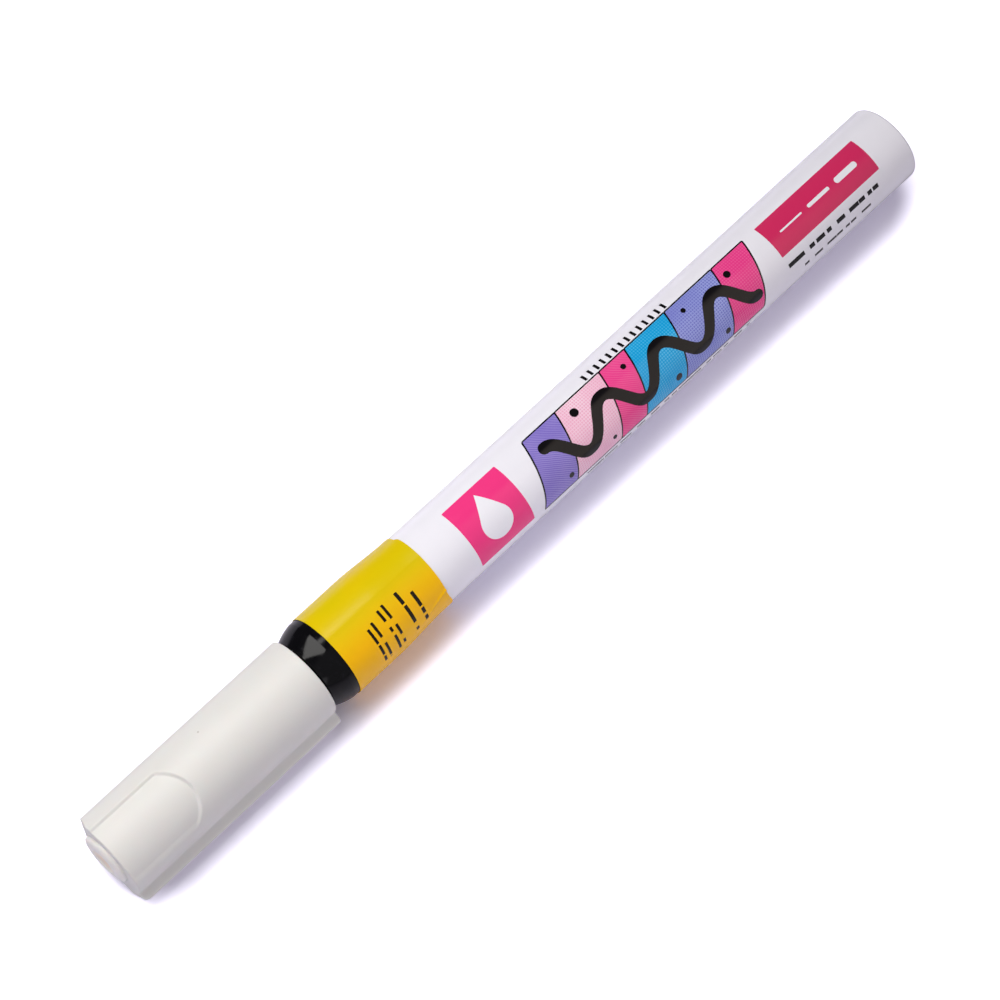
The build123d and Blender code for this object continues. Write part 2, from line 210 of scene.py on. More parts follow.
def addSky():
    world = bpy.data.worlds.new("studio")
    world.use_nodes = True
    tree = world.node_tree
    direction = addNode(tree, "ShaderNodeTexCoord", output="Generated")
    side = addNode(tree, "ShaderNodeSeparateXYZ", (direction,), output="Y")
    front = addNode(tree, "ShaderNodeMath", (side, -1.0), operation="MULTIPLY")
    share = addNode(tree, "ShaderNodeMapRange", (front, *studio["skyEdge"]), interpolation_type="SMOOTHSTEP")
    colour = addNode(tree, "ShaderNodeMix",
                     {0: share, 6: linear(studio["skyDark"]), 7: linear(studio["skyFront"])},
                     output=2, data_type="RGBA")
    strength = addNode(tree, "ShaderNodeMapRange",
                       {0: share, 3: studio["skyDarkStrength"], 4: studio["skyFrontStrength"]})
    background = tree.nodes["Background"]
    tree.links.new(colour, background.inputs["Color"])
    tree.links.new(strength, background.inputs["Strength"])
    bpy.context.scene.world = world


def addStudio():
    addSheet("paper", whitePaper(), 0, True)
    addSheet("table", tableTop(), studio["tableDrop"], False)
    for name, lamp in lamps.items():
        addLamp(name, *lamp)
    addSky()
    bpy.context.scene.view_settings.view_transform = "Standard"


addCamera()
addStudio()
print("studio ready")

meshing = {
    "weld": 0.0005,  # closer vertices are merged
    "ringReach": 0.01,  # within which an edge belongs to a ring
    "sharpAngle": 40,  # degrees
}


# outlines are (x, radius) corners in millimetres, turned round the marker's axis
def spinOutline(corners, steps):
    bm = bmesh.new()
    verts = [bm.verts.new((x * mm, 0, radius * mm)) for x, radius in corners]
    edges = [bm.edges.new(pair) for pair in zip(verts, verts[1:])]
    bmesh.ops.spin(bm, geom=verts + edges, cent=(0, 0, 0), axis=(1, 0, 0), angle=math.tau,
                   steps=steps, use_merge=True)
    bmesh.ops.remove_doubles(bm, verts=bm.verts, dist=meshing["weld"] * mm)
    bmesh.ops.recalc_face_normals(bm, faces=bm.faces)
    return bm


def bevelRing(bm, x, radius, width, segments):
    near = meshing["ringReach"] * mm
    ring = [e for e in bm.edges
            if all(abs(v.co.x - x * mm) < near and abs(v.co.yz.length - radius * mm) < near for v in e.verts)]
    bmesh.ops.bevel(bm, geom=ring, offset=width * mm, offset_type="OFFSET", segments=segments, profile=0.5,
                    affect="EDGES", material=-1)


def finishPiece(name, bm, material, body, node):
    mesh = bpy.data.meshes.new(name)
    bm.to_mesh(mesh)
    bm.free()
    mesh.shade_smooth()
    mesh.set_sharp_from_angle(angle=math.radians(meshing["sharpAngle"]))
    mesh.materials.append(material)
    piece = bpy.data.objects.new(name, mesh)
    bpy.context.scene.collection.objects.link(piece)
    weighted = piece.modifiers.new("weightedNormals", "WEIGHTED_NORMAL")
    weighted.keep_sharp = True
    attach(piece, body)
    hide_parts(node)
    print(name, len(mesh.polygons), "faces")
    return piece


# prints lie on the unrolled wall: X along the axis, Y round it from the top line, in millimetres
def unrolled(tree, radius):
    place = addNode(tree, "ShaderNodeTexCoord", output="Object")
    split = addNode(tree, "ShaderNodeSeparateXYZ", (place,)).node.outputs
    along = addNode(tree, "ShaderNodeMath", (split["X"], 1 / mm), operation="MULTIPLY")
    angle = addNode(tree, "ShaderNodeMath", (split["Y"], split["Z"]), operation="ARCTAN2")
    around = addNode(tree, "ShaderNodeMath", (angle, radius), operation="MULTIPLY")
    return along, around, addNode(tree, "ShaderNodeCombineXYZ", (along, around))


def panelMask(tree, flat, middle, half, corner):
    reach = reachPast(tree, flat, (*middle, 0), (half[0] - corner, half[1] - corner, 0))
    return addNode(tree, "ShaderNodeMath", (reach, corner), operation="LESS_THAN")


def discMask(tree, flat, middle, radius):
    reach = addNode(tree, "ShaderNodeVectorMath", (flat, (*middle, 0)), output="Value", operation="DISTANCE")
    return addNode(tree, "ShaderNodeMath", (reach, radius), operation="LESS_THAN")


def dropMask(tree, flat, drop):
    # a disc with a tip above it, whose sides are tangent to the disc
    middle, radius, lean = drop["middle"], drop["radius"], math.radians(drop["tipLean"])
    moved = addNode(tree, "ShaderNodeVectorMath", (flat, (*middle, 0)), operation="SUBTRACT")
    split = addNode(tree, "ShaderNodeSeparateXYZ", (moved,)).node.outputs
    aside = addNode(tree, "ShaderNodeMath", (split["X"],), operation="ABSOLUTE")
    side = addNode(tree, "ShaderNodeMath", (split["Y"], math.tan(lean), aside), operation="MULTIPLY_ADD")
    under = addNode(tree, "ShaderNodeMath", (side, radius / math.cos(lean)), operation="LESS_THAN")
    above = addNode(tree, "ShaderNodeMath", (split["Y"], radius * math.sin(lean)), operation="GREATER_THAN")
    tip = addNode(tree, "ShaderNodeMath", (under, above), operation="MULTIPLY")
    disc = discMask(tree, flat, middle, radius)
    return addNode(tree, "ShaderNodeMath", (disc, tip), operation="MAXIMUM")


def brushMask(tree, flat, brush):
    # a wavy stroke with round ends, as thick on its slopes as on its crests
    split = addNode(tree, "ShaderNodeSeparateXYZ", (flat,)).node.outputs
    start, end = brush["ends"]
    turn = math.pi * brush["halfWaves"] / (end - start)
    shift = math.pi / 2 - turn * start  # both ends lie on a crest or a trough
    phase = addNode(tree, "ShaderNodeMath", (split["X"], turn, shift), operation="MULTIPLY_ADD")
    rise = addNode(tree, "ShaderNodeMath", (phase,), operation="SINE")
    middle = addNode(tree, "ShaderNodeMath", (rise, brush["height"], brush["middle"]),
                     operation="MULTIPLY_ADD")
    aside = addNode(tree, "ShaderNodeMath", (split["Y"], middle), operation="SUBTRACT")
    apart = addNode(tree, "ShaderNodeMath", (aside,), operation="ABSOLUTE")
    lean = addNode(tree, "ShaderNodeMath", (phase,), operation="COSINE")
    slope = addNode(tree, "ShaderNodeMath", (lean, brush["height"] * turn), operation="MULTIPLY")
    squared = addNode(tree, "ShaderNodeMath", (slope, slope, 1.0), operation="MULTIPLY_ADD")
    steep = addNode(tree, "ShaderNodeMath", (squared,), operation="SQRT")
    reach = addNode(tree, "ShaderNodeMath", (apart, steep), operation="DIVIDE")
    band = addNode(tree, "ShaderNodeMath", (reach, brush["half"]), operation="LESS_THAN")
    fieldHalf = ((end - start) / 2, brush["fieldHalf"])
    field = panelMask(tree, flat, ((start + end) / 2, brush["middle"]), fieldHalf, brush["fieldCorner"])
    stroke = addNode(tree, "ShaderNodeMath", (band, field), operation="MULTIPLY")
    for x in brush["ends"]:
        tip = (x, brush["middle"] + brush["height"] * math.sin(turn * x + shift))
        dab = discMask(tree, flat, tip, brush["half"])
        stroke = addNode(tree, "ShaderNodeMath", (stroke, dab), operation="MAXIMUM")
    return stroke


dashLook = {"spacing": 4 / 3, "cut": 0.43}  # mm between dashes, level of the noise below which there is a gap


def dashedMask(tree, flat, line, middle, half, corner, seed):
    # a row of dashes of uneven length
    shifted = addNode(tree, "ShaderNodeMath", (line, seed), operation="ADD")
    noise = addNode(tree, "ShaderNodeTexNoise",
                    {"W": shifted, "Scale": 1 / dashLook["spacing"], "Detail": 0.0}, noise_dimensions="1D")
    dashes = addNode(tree, "ShaderNodeMath", (noise, dashLook["cut"]), operation="GREATER_THAN")
    row = panelMask(tree, flat, middle, half, corner)
    return addNode(tree, "ShaderNodeMath", (row, dashes), operation="MULTIPLY")


screenLook = {
    "pitch": 0.36,  # mm between the lines or dots of a screen, coarse enough to show
    "dot": 0.36,  # radius of a dot, as a share of the pitch
    "hatch": 0.25,  # half width of a slanted line
    "weave": 0.17,  # half width of a crossed line
}


def screenMask(tree, flat, kind):
    pitch = screenLook["pitch"]
    split = addNode(tree, "ShaderNodeSeparateXYZ", (flat,)).node.outputs
    across, along = split["X"], split["Y"]
    if kind == "dots":
        reach = addNode(tree, "ShaderNodeTexVoronoi", {"Vector": flat, "Scale": 1 / pitch, "Randomness": 0},
                        output="Distance", voronoi_dimensions="2D")
        return addNode(tree, "ShaderNodeMath", (reach, screenLook["dot"]), operation="LESS_THAN")
    if kind == "hatch":
        slope = addNode(tree, "ShaderNodeMath", (across, along), operation="ADD")
        wave = addNode(tree, "ShaderNodeMath", (slope, pitch / 2), operation="PINGPONG")
        return addNode(tree, "ShaderNodeMath", (wave, pitch * screenLook["hatch"]), operation="LESS_THAN")
    waves = [addNode(tree, "ShaderNodeMath", (line, pitch / 2), operation="PINGPONG")
             for line in (across, along)]
    lines = [addNode(tree, "ShaderNodeMath", (wave, pitch * screenLook["weave"]), operation="LESS_THAN")
             for wave in waves]
    return addNode(tree, "ShaderNodeMath", lines, operation="MAXIMUM")


barrelPrint = {
    "white": "F3F2F9",
    "cloud": {"colour": "EEEDF5", "size": 2.857},  # in the white
    "ink": "0D0B0C",
    "slant": 0.30,  # of the swatches' sides
    "stripStart": -25.6,
    "stripMiddle": -3.35,
    "stripHalf": 5.10,
    "gap": -0.24,  # neighbours share an outline
    "outline": 0.24,
    "cornerRound": 0.35,
    "swatches": [  # width, ink, paler ink, screen
        (6.3, "7B6CC4", "A99ADB", "hatch"),
        (8.5, "F0AFCB", "FBDDEA", "weave"),
        (5.0, "EE3F8C", "F56AA6", "hatch"),
        (7.85, "0E9FDD", "56C1EA", "dots"),
        (9.25, "7479CB", "A4AFE6", "weave"),
        (6.3, "EE3F8C", "F56AA6", "dots"),
    ],
    "fadeSize": 6.25,  # of the patches in which a screen prints weaker
    "fade": (0.30, 0.70, 0.25, 0.95),  # range of the noise, then of the screen's strength
    "brush": {"halfWaves": 7, "height": 2.25, "middle": -3.35, "half": 0.82, "ends": (-22.6, 14.4),
              "fieldHalf": 9.0, "fieldCorner": 0.01},
    "splatter": [  # x, y, radius
        (-21.6, -6.6, 0.42), (-16.2, -0.3, 0.62), (-13.6, -6.9, 0.34), (-6.9, -0.2, 0.40),
        (-1.4, -6.8, 0.55), (4.6, -0.1, 0.36), (8.1, -6.7, 0.46), (12.6, -0.5, 0.52),
    ],
    "panel": {"middle": (-33.68, -3.12), "half": (4.78, 4.92), "corner": 0.15, "ink": "F43A85"},
    "drop": {"middle": (-33.7, -4.0), "radius": 2.35, "tipLean": 30},  # degrees
    "bar": {"middle": (29.8, -1.16), "half": (9.62, 2.80), "corner": 0.12, "ink": "D62E62"},
    "strokes": [  # three widths of line: middle, half, corner
        ((24.4, -1.16), (2.1, 0.13), 0.12),
        ((29.8, -1.16), (2.1, 0.26), 0.25),
        ((35.2, -1.16), (2.1, 0.45), 0.44),
    ],
    "ticks": {"middle": (-4.2, 2.55), "half": (8.0, 0.62), "corner": 0.05, "pitch": 1.15, "share": 0.36},
    "rows": [  # middle, half, corner, seed
        ((29.4, -5.65), (9.0, 0.34), 0.10, 6.0),
        ((29.7, -7.55), (7.2, 0.22), 0.08, 11.0),
        ((-4.0, -9.15), (16.0, 0.20), 0.06, 27.0),
    ],
    "peelSize": 1.111,
    "peel": {"Strength": 0.06, "Distance": 0.02 * mm},
    "roughness": (0.3, 0.7, 0.10, 0.18),  # range of the clouds, then of the roughness
}


def printSwatches(tree, flat, slanted, ink):
    # outlined swatches in a strip, each with a screen in a paler ink
    look = barrelPrint
    fade = addNode(tree, "ShaderNodeTexNoise", {"Vector": flat, "Scale": 1 / look["fadeSize"], "Detail": 1.0})
    strength = addNode(tree, "ShaderNodeMapRange", (fade, *look["fade"]))
    start = look["stripStart"] - look["slant"] * look["stripMiddle"]
    for width, full, pale, kind in look["swatches"]:
        middle = (start + width / 2, look["stripMiddle"])
        half = (width / 2, look["stripHalf"])
        border = panelMask(tree, slanted, middle, half, look["cornerRound"])
        inset = [h - look["outline"] for h in half]
        field = panelMask(tree, slanted, middle, inset, look["cornerRound"] - look["outline"])
        screen = screenMask(tree, flat, kind)
        screened = addNode(tree, "ShaderNodeMath", (screen, strength), operation="MULTIPLY")
        colour = addNode(tree, "ShaderNodeMix", {0: screened, 6: linear(full), 7: linear(pale)}, output=2,
                         data_type="RGBA")
        ink = addNode(tree, "ShaderNodeMix", {0: border, 6: ink, 7: linear(look["ink"])}, output=2,
                      data_type="RGBA")
        ink = addNode(tree, "ShaderNodeMix", {0: field, 6: ink, 7: colour}, output=2, data_type="RGBA")
        start += width + look["gap"]
    return ink


def printMarks(tree, flat, along, ink):
    # black marks, then the two panels, then what is left white in them
    look = barrelPrint
    ticks = look["ticks"]
    box = panelMask(tree, flat, ticks["middle"], ticks["half"], ticks["corner"])
    comb = addNode(tree, "ShaderNodeMath", (along, ticks["pitch"] / 2), operation="PINGPONG")
    teeth = addNode(tree, "ShaderNodeMath", (comb, ticks["pitch"] / 2 * ticks["share"]),
                    operation="LESS_THAN")
    marks = [addNode(tree, "ShaderNodeMath", (box, teeth), operation="MULTIPLY")]
    marks.append(brushMask(tree, flat, look["brush"]))
    marks += [discMask(tree, flat, dot[:2], dot[2]) for dot in look["splatter"]]
    marks += [dashedMask(tree, flat, along, *row) for row in look["rows"]]
    layers = [(mark, look["ink"]) for mark in marks]
    for field in (look["panel"], look["bar"]):
        layers.append((panelMask(tree, flat, field["middle"], field["half"], field["corner"]), field["ink"]))
    layers.append((dropMask(tree, flat, look["drop"]), look["white"]))
    layers += [(panelMask(tree, flat, *stroke), look["white"]) for stroke in look["strokes"]]
    for mask, colour in layers:
        ink = addNode(tree, "ShaderNodeMix", {0: mask, 6: ink, 7: linear(colour)}, output=2, data_type="RGBA")
    return ink


def printedEnamel():
    # white stoving enamel over drawn aluminium, screen printed: smooth and glossy with a faint orange peel
    look = barrelPrint
    material, tree, shader = startMaterial("printedEnamel", IOR=1.5)
    along, around, flat = unrolled(tree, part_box("barrel")[1].z / mm)
    leaned = addNode(tree, "ShaderNodeMath", (around, -look["slant"], along), operation="MULTIPLY_ADD")
    slanted = addNode(tree, "ShaderNodeCombineXYZ", (leaned, around))
    clouds = addNode(tree, "ShaderNodeTexNoise",
                     {"Vector": flat, "Scale": 1 / look["cloud"]["size"], "Detail": 3.0})
    white = addNode(tree, "ShaderNodeMix",
                    {0: clouds, 6: linear(look["white"]), 7: linear(look["cloud"]["colour"])},
                    output=2, data_type="RGBA")
    swatched = printSwatches(tree, flat, slanted, white)
    tree.links.new(printMarks(tree, flat, along, swatched), shader.inputs["Base Color"])
    peel = addNode(tree, "ShaderNodeTexNoise", {"Vector": flat, "Scale": 1 / look["peelSize"], "Detail": 2.0})
    bump = addNode(tree, "ShaderNodeBump", {**look["peel"], "Height": peel})
    tree.links.new(bump, shader.inputs["Normal"])
    smear = addNode(tree, "ShaderNodeMapRange", (clouds, *look["roughness"]))
    tree.links.new(smear, shader.inputs["Roughness"])
    return material


barrelCan = {
    "wall": 0.40,
    "tailWall": 0.80,
    "tailRound": (0.40, 8),  # width and segments, as for the other roundings
    "floorRound": (0.50, 4),
    "mouthRound": (0.10, 2),
    "steps": 256,
}


def buildBarrel():
    low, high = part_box("barrel")
    front, tail, radius = low.x / mm, high.x / mm, high.z / mm
    bore = radius - barrelCan["wall"]
    floorX = tail - barrelCan["tailWall"]
    outline = [(tail, 0), (tail, radius), (front, radius), (front, bore), (floorX, bore), (floorX, 0)]
    bm = spinOutline(outline, barrelCan["steps"])
    bevelRing(bm, tail, radius, *barrelCan["tailRound"])
    bevelRing(bm, floorX, bore, *barrelCan["floorRound"])
    bevelRing(bm, front, radius, *barrelCan["mouthRound"])
    return finishPiece("barrelCan", bm, printedEnamel(), "marker", "barrel")


buildBarrel()

# a film label wrapped round collar and barrel, its outer end lapped over the inner one
sealWrap = {
    "thickness": 0.05,
    "lapStep": 0.06,  # outward, where the film lies over its own inner end
    "ripple": 0.014,
    "rippleWaves": [(5, 0.35, 0), (11, -0.20, 1)],  # waves in a turn, twist along the axis, phase
    "outerEnd": 47.0,  # degrees from the top line
    "overlap": 54.0,
    "lapEase": 7.0,  # degrees in which the film comes down from its inner end
    "cornerRound": 1.5,
    "askew": 0.34,  # by which the rear edge runs off in one turn
    "rearInset": 0.20,
    "flare": {"reach": 0.60, "opens": (112, 148), "closes": (220, 300)},  # degrees from the outer end
    "land": 1.80,
    "taperStart": 8.12,  # from the front edge
    # where the taper puckers it, in degrees from the top line and millimetres
    "pleat": {"height": 0.18, "half": 3.4, "rear": -61.0, "twist": 3.3, "length": 6.5},
    "columns": 720,
    "rows": 60,
}
sealInk = {
    "yellow": "D1C100",
    # the amber is painted shade on the film's lower side, and also the colour of its uneven patches
    "amberShadeAndDrift": "FFC000",
    "black": "171208",
    "shadeRamp": (0.5, -5.5, 0.0, 0.8),  # painted shade on the lower side: stretch round the barrel, then how deep the yellow gets
    "driftSize": 8.333,  # of the uneven patches
    "driftShare": 0.4,
    "rows": [  # middle, half, corner, seed
        ((-56.2, -5.6), (0.20, 3.3), 0.08, 2.0),
        ((-55.3, -5.8), (0.20, 3.1), 0.08, 5.0),
        ((-53.7, -5.1), (0.20, 3.8), 0.08, 9.0),
        ((-52.8, -5.4), (0.20, 3.5), 0.08, 12.0),
        ((-50.4, -5.3), (0.26, 3.4), 0.10, 15.0),
        ((-48.6, -6.1), (0.26, 2.8), 0.10, 31.0),
    ],
    "streakSize": (12.5, 1.111, 1.0),  # along the axis and round it, from pulling the film tight
    "streak": {"Strength": 0.12, "Distance": 0.03 * mm},
}


def smooth(value):
    value = min(max(value, 0), 1)
    return value * value * (3 - 2 * value)


def cornerDrop(near, radius):
    # what a rounding takes off at a distance from the end
    return radius - math.sqrt(max(radius ** 2 - max(radius - near, 0) ** 2, 0))


def sealFilm():
    # printed PVC film: glossy yellow with painted shade that deepens it to amber low on the side, slightly
    # uneven where it was pulled tight
    look = sealInk
    material, tree, shader = startMaterial("sealFilm", Roughness=0.26, IOR=1.46, Specular_IOR_Level=0.3)
    around, flat = unrolled(tree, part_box("seal_band")[1].z / mm)[1:]
    drift = addNode(tree, "ShaderNodeTexNoise",
                    {"Vector": flat, "Scale": 1 / look["driftSize"], "Detail": 2.0})
    # painted shade: deeper amber on the lower side, round the barrel from its top line
    low = addNode(tree, "ShaderNodeMapRange", (around, *look["shadeRamp"]), interpolation_type="SMOOTHSTEP")
    shadeAndDrift = addNode(tree, "ShaderNodeMath", (drift, look["driftShare"], low), operation="MULTIPLY_ADD",
                       use_clamp=True)
    colour = addNode(tree, "ShaderNodeMix", {0: shadeAndDrift, 6: linear(look["yellow"]), 7: linear(look["amberShadeAndDrift"])},
                     output=2, data_type="RGBA")
    for row in look["rows"]:
        mask = dashedMask(tree, flat, around, *row)
        colour = addNode(tree, "ShaderNodeMix", {0: mask, 6: colour, 7: linear(look["black"])}, output=2,
                         data_type="RGBA")
    tree.links.new(colour, shader.inputs["Base Color"])
    stretched = addNode(tree, "ShaderNodeVectorMath", (flat, look["streakSize"]), operation="DIVIDE")
    streaks = addNode(tree, "ShaderNodeTexNoise", {"Vector": stretched, "Scale": 1.0, "Detail": 2.0})
    bump = addNode(tree, "ShaderNodeBump", {**look["streak"], "Height": streaks})
    tree.links.new(bump, shader.inputs["Normal"])
    return material


def sealRadius(x, front, rear, collar, barrel):
    start, end = front + sealWrap["taperStart"], rear - sealWrap["land"]
    share = min(max((x - start) / (end - start), 0), 1)
    return collar + (barrel - collar) * (share + smooth(share)) / 2


def pleatRise(x, angle, rear):
    pleat = sealWrap["pleat"]
    back = rear - x
    crest = pleat["rear"] - pleat["twist"] * back
    across = (math.degrees(angle) - crest) / pleat["half"]
    return pleat["height"] * max(1 - across * across, 0) ** 2 * max(1 - back / pleat["length"], 0)


def rippleRise(x, angle):
    waves = sealWrap["rippleWaves"]
    swing = sum(math.sin(count * angle + twist * x + phase) for count, twist, phase in waves)
    return sealWrap["ripple"] * (1 + swing / len(waves)) / 2


def rearFlare(turn):
    flare = sealWrap["flare"]
    spans = (flare["opens"], flare["closes"])
    opened, closed = [smooth((turn - start) / (end - start)) for start, end in spans]
    return flare["reach"] * opened * (1 - closed)


def buildSeal():
    low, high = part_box("seal_band")
    front, rear = low.x / mm, high.x / mm
    proud = (high.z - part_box("front_section")[1].z) / mm - sealWrap["lapStep"] - sealWrap["ripple"]
    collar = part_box("front_section")[1].z / mm + proud
    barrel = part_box("barrel")[1].z / mm + proud
    sweep = 360 + sealWrap["overlap"]
    bm = bmesh.new()
    bmesh.ops.create_grid(bm, x_segments=sealWrap["rows"], y_segments=sealWrap["columns"], size=0.5)
    for vert in bm.verts:
        turn = (vert.co.y + 0.5) * sweep  # degrees from the outer end
        inset = cornerDrop(math.radians(min(turn, sweep - turn)) * collar, sealWrap["cornerRound"])
        rearEdge = rear - inset - sealWrap["rearInset"] - sealWrap["askew"] * turn / 360 + rearFlare(turn)
        frontEdge = front + inset
        x = frontEdge + (vert.co.x + 0.5) * (rearEdge - frontEdge)
        lap = 1 - smooth((turn - sealWrap["overlap"] + sealWrap["lapEase"] / 2) / sealWrap["lapEase"])
        angle = math.radians(sealWrap["outerEnd"] - turn)
        away = sealRadius(x, front, rear, collar, barrel) + lap * sealWrap["lapStep"]
        away += rippleRise(x, angle) + pleatRise(x, angle, rear)
        vert.co = Vector((x, away * math.sin(angle), away * math.cos(angle))) * mm
    bmesh.ops.recalc_face_normals(bm, faces=bm.faces)
    outside = next(iter(bm.faces))
    if outside.normal.yz.dot(outside.calc_center_median().yz) < 0:
        bmesh.ops.reverse_faces(bm, faces=bm.faces)
    bmesh.ops.solidify(bm, geom=bm.faces[:], thickness=sealWrap["thickness"] * mm)
    return finishPiece("sealWrap", bm, sealFilm(), "marker", "seal_band")


buildSeal()

# the spring's wire is one circle screwed along the axis
springWire = {
    "wireRadius": 0.20,
    "turns": 5,
    "stepsPerTurn": 40,
    "sides": 12,
    "pressed": 0.79,  # of its length at the end of the nib's travel
    "colour": "B9BBBE",
    "bright": "D2D3D6",
    "grainSize": 0.1667,
}


def springSteel():
    # drawn stainless spring wire: bright, with a fine grain from the drawing
    look = springWire
    material, tree, shader = startMaterial("springSteel", Metallic=1.0, Roughness=0.25)
    place = addNode(tree, "ShaderNodeTexCoord", output="Object")
    grain = addNode(tree, "ShaderNodeTexNoise",
                    {"Vector": place, "Scale": 1 / (look["grainSize"] * mm), "Detail": 2.0})
    colour = addNode(tree, "ShaderNodeMix", {0: grain, 6: linear(look["colour"]), 7: linear(look["bright"])},
                     output=2, data_type="RGBA")
    tree.links.new(colour, shader.inputs["Base Color"])
    return material


def buildSpring():
    low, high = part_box("valve_spring")
    wire = springWire["wireRadius"] * mm
    mean = high.z - wire
    first, last = low.x + wire, high.x - wire
    steps = springWire["turns"] * springWire["stepsPerTurn"]
    bm = bmesh.new()
    ring = bmesh.ops.create_circle(bm, segments=springWire["sides"], radius=wire)["verts"]
    bmesh.ops.translate(bm, vec=(first, mean, 0), verts=ring)
    bmesh.ops.spin(bm, geom=bm.verts[:] + bm.edges[:], cent=(0, 0, 0), axis=(1, 0, 0),
                   dvec=((last - first) / steps, 0, 0), angle=math.tau * springWire["turns"], steps=steps)
    bmesh.ops.remove_doubles(bm, verts=bm.verts, dist=meshing["weld"] * mm)
    bmesh.ops.holes_fill(bm, edges=[e for e in bm.edges if e.is_boundary], sides=0)
    bmesh.ops.recalc_face_normals(bm, faces=bm.faces)
    piece = finishPiece("springWire", bm, springSteel(), "marker", "valve_spring")
    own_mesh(piece)


buildSpring()

# the cap is one ring, wall and rib in cross-section, extruded along the axis and sunk at its finger recesses
capMould = {
    "steps": 480,
    "ribAngle": -132.0,  # degrees from the top line
    "ribHalf": 1.90,
    "ribHeight": 1.47,
    "ribRound": 0.35,
    "ribSpan": 40,  # degrees from the rib's middle, past which there is only wall
    "rootBlend": 0.45,
    "noseRound": 0.95,
    "mouthRound": 0.35,
    "edgeRound": 0.18,
    "endProud": 0.50,  # of the end beyond the plain solid
    "endSlant": {"start": 3.1, "slope": 0.33, "length": 1.5},  # how its +Y side falls back
    "recessTurn": 108.7,  # from the rib to each recess
    "recessSpan": 75,  # degrees from a recess's middle, past which it can't reach
    "recessHalf": 4.26,
    "recessStraight": 10.10,
    "recessArch": 2.16,
    "recessDepth": (0.20, 0.42, 0.38),  # on the rib's side, in the middle, on the far side
    "rimSide": (0.80, 0.24),  # width of the ramp on the rib's side and on the far one
    "rimArch": 0.42,  # and at the arch
    "endWall": 1.30,
    "holeRadius": 3.67,
    "linerBore": 4.52,
    "mouthBore": 4.98,
    "boreBevel": 0.40,
    "lipBevel": 0.12,
}
capRings = {
    "coarse": 1.0,  # between rings
    "fine": 0.12,  # along the recesses
    "finePast": 1.0,  # how far the fine rings go on behind the recesses
    "roundSteps": 6,
    "endZone": 0.25,  # left to the rounding of the end
    "mouthZone": 0.60,  # left to the rounding of the mouth
    "mouthStep": 0.05,
    "mouthCount": 7,
    "search": {"below": 0.05, "above": 0.5, "halvings": 22},  # from wall and rib, for the outside's radius
}
capPlastic = {
    "colour": "E1E0DC",
    "flow": "DDDCD8",
    "flowSize": 6.25,
    "speck": {"place": (-80.52, 2.30, 5.41), "radius": 0.11, "colour": "B0ACA5"},
    "grainSize": 0.3846,
    "grain": {"Strength": 0.12, "Distance": 0.012 * mm},
    "roughness": (0.3, 0.7, 0.42, 0.54),  # range of the grain, then of the roughness
}


def mouldedPolypropylene():
    # moulded polypropylene: satin off-white that lets a little light in, fine mould grain and one dark speck
    look = capPlastic
    material, tree, shader = startMaterial("mouldedPolypropylene", IOR=1.46, Subsurface_Weight=0.08,
                                           Subsurface_Scale=0.5 * mm)
    place = addNode(tree, "ShaderNodeTexCoord", output="Object")
    flow = addNode(tree, "ShaderNodeTexNoise",
                   {"Vector": place, "Scale": 1 / (look["flowSize"] * mm), "Detail": 2.0})
    colour = addNode(tree, "ShaderNodeMix", {0: flow, 6: linear(look["colour"]), 7: linear(look["flow"])},
                     output=2, data_type="RGBA")
    spot = tuple(c * mm for c in look["speck"]["place"])
    away = addNode(tree, "ShaderNodeVectorMath", (place, spot), output="Value", operation="DISTANCE")
    speck = addNode(tree, "ShaderNodeMath", (away, look["speck"]["radius"] * mm), operation="LESS_THAN")
    colour = addNode(tree, "ShaderNodeMix", {0: speck, 6: colour, 7: linear(look["speck"]["colour"])},
                     output=2, data_type="RGBA")
    tree.links.new(colour, shader.inputs["Base Color"])
    grain = addNode(tree, "ShaderNodeTexNoise",
                    {"Vector": place, "Scale": 1 / (look["grainSize"] * mm), "Detail": 2.0})
    bump = addNode(tree, "ShaderNodeBump", {**look["grain"], "Height": grain})
    tree.links.new(bump, shader.inputs["Normal"])
    satin = addNode(tree, "ShaderNodeMapRange", (grain, *look["roughness"]))
    tree.links.new(satin, shader.inputs["Roughness"])
    return material


def ribGap(across, out, top):
    # from a point of the cross-section to the rib's rounded outline, below zero inside it
    corner = capMould["ribRound"]
    aside, above = abs(across) - capMould["ribHalf"] + corner, out - top + corner
    return math.hypot(max(aside, 0), max(above, 0)) + min(max(aside, above), 0) - corner


def sectionReach(angle, wall, top):
    # radius of the cap's outside at one angle, where wall and rib run into each other
    turn = math.remainder(angle - math.radians(capMould["ribAngle"]), math.tau)
    if abs(turn) > math.radians(capMould["ribSpan"]):
        return wall
    blend, search = capMould["rootBlend"], capRings["search"]
    inside, outside = wall - search["below"], top + search["above"]
    for halving in range(search["halvings"]):
        middle = (inside + outside) / 2
        toWall, toRib = middle - wall, ribGap(middle * math.sin(turn), middle * math.cos(turn), top)
        near = max(blend - abs(toWall - toRib), 0) / blend
        gap = min(toWall, toRib) - near * near * blend / 4
        inside, outside = (middle, outside) if gap < 0 else (inside, middle)
    return inside


def recessSink(turn, wall):
    # depth of a recess's floor, on a curve through the three given depths
    across = min(max(wall * math.sin(turn) / capMould["recessHalf"], -1), 1)
    ribSide, middle, farSide = capMould["recessDepth"]
    return middle + (farSide - ribSide) / 2 * across + ((farSide + ribSide) / 2 - middle) * across ** 2


def recessShare(depth, turn, wall):
    # how far a point is sunk: 0 on the wall, 1 on the recess's floor
    half, arch = capMould["recessHalf"], capMould["recessArch"]
    radius = (half ** 2 + arch ** 2) / (2 * arch)
    middle = capMould["recessStraight"] + arch - radius
    across = wall * math.sin(turn)
    toSide = half - abs(across)
    toArch = radius - math.hypot(max(depth - middle, 0), across)
    rim = capMould["rimSide"][across > 0]
    return smooth(toSide / rim + 0.5) * smooth(toArch / capMould["rimArch"] + 0.5)


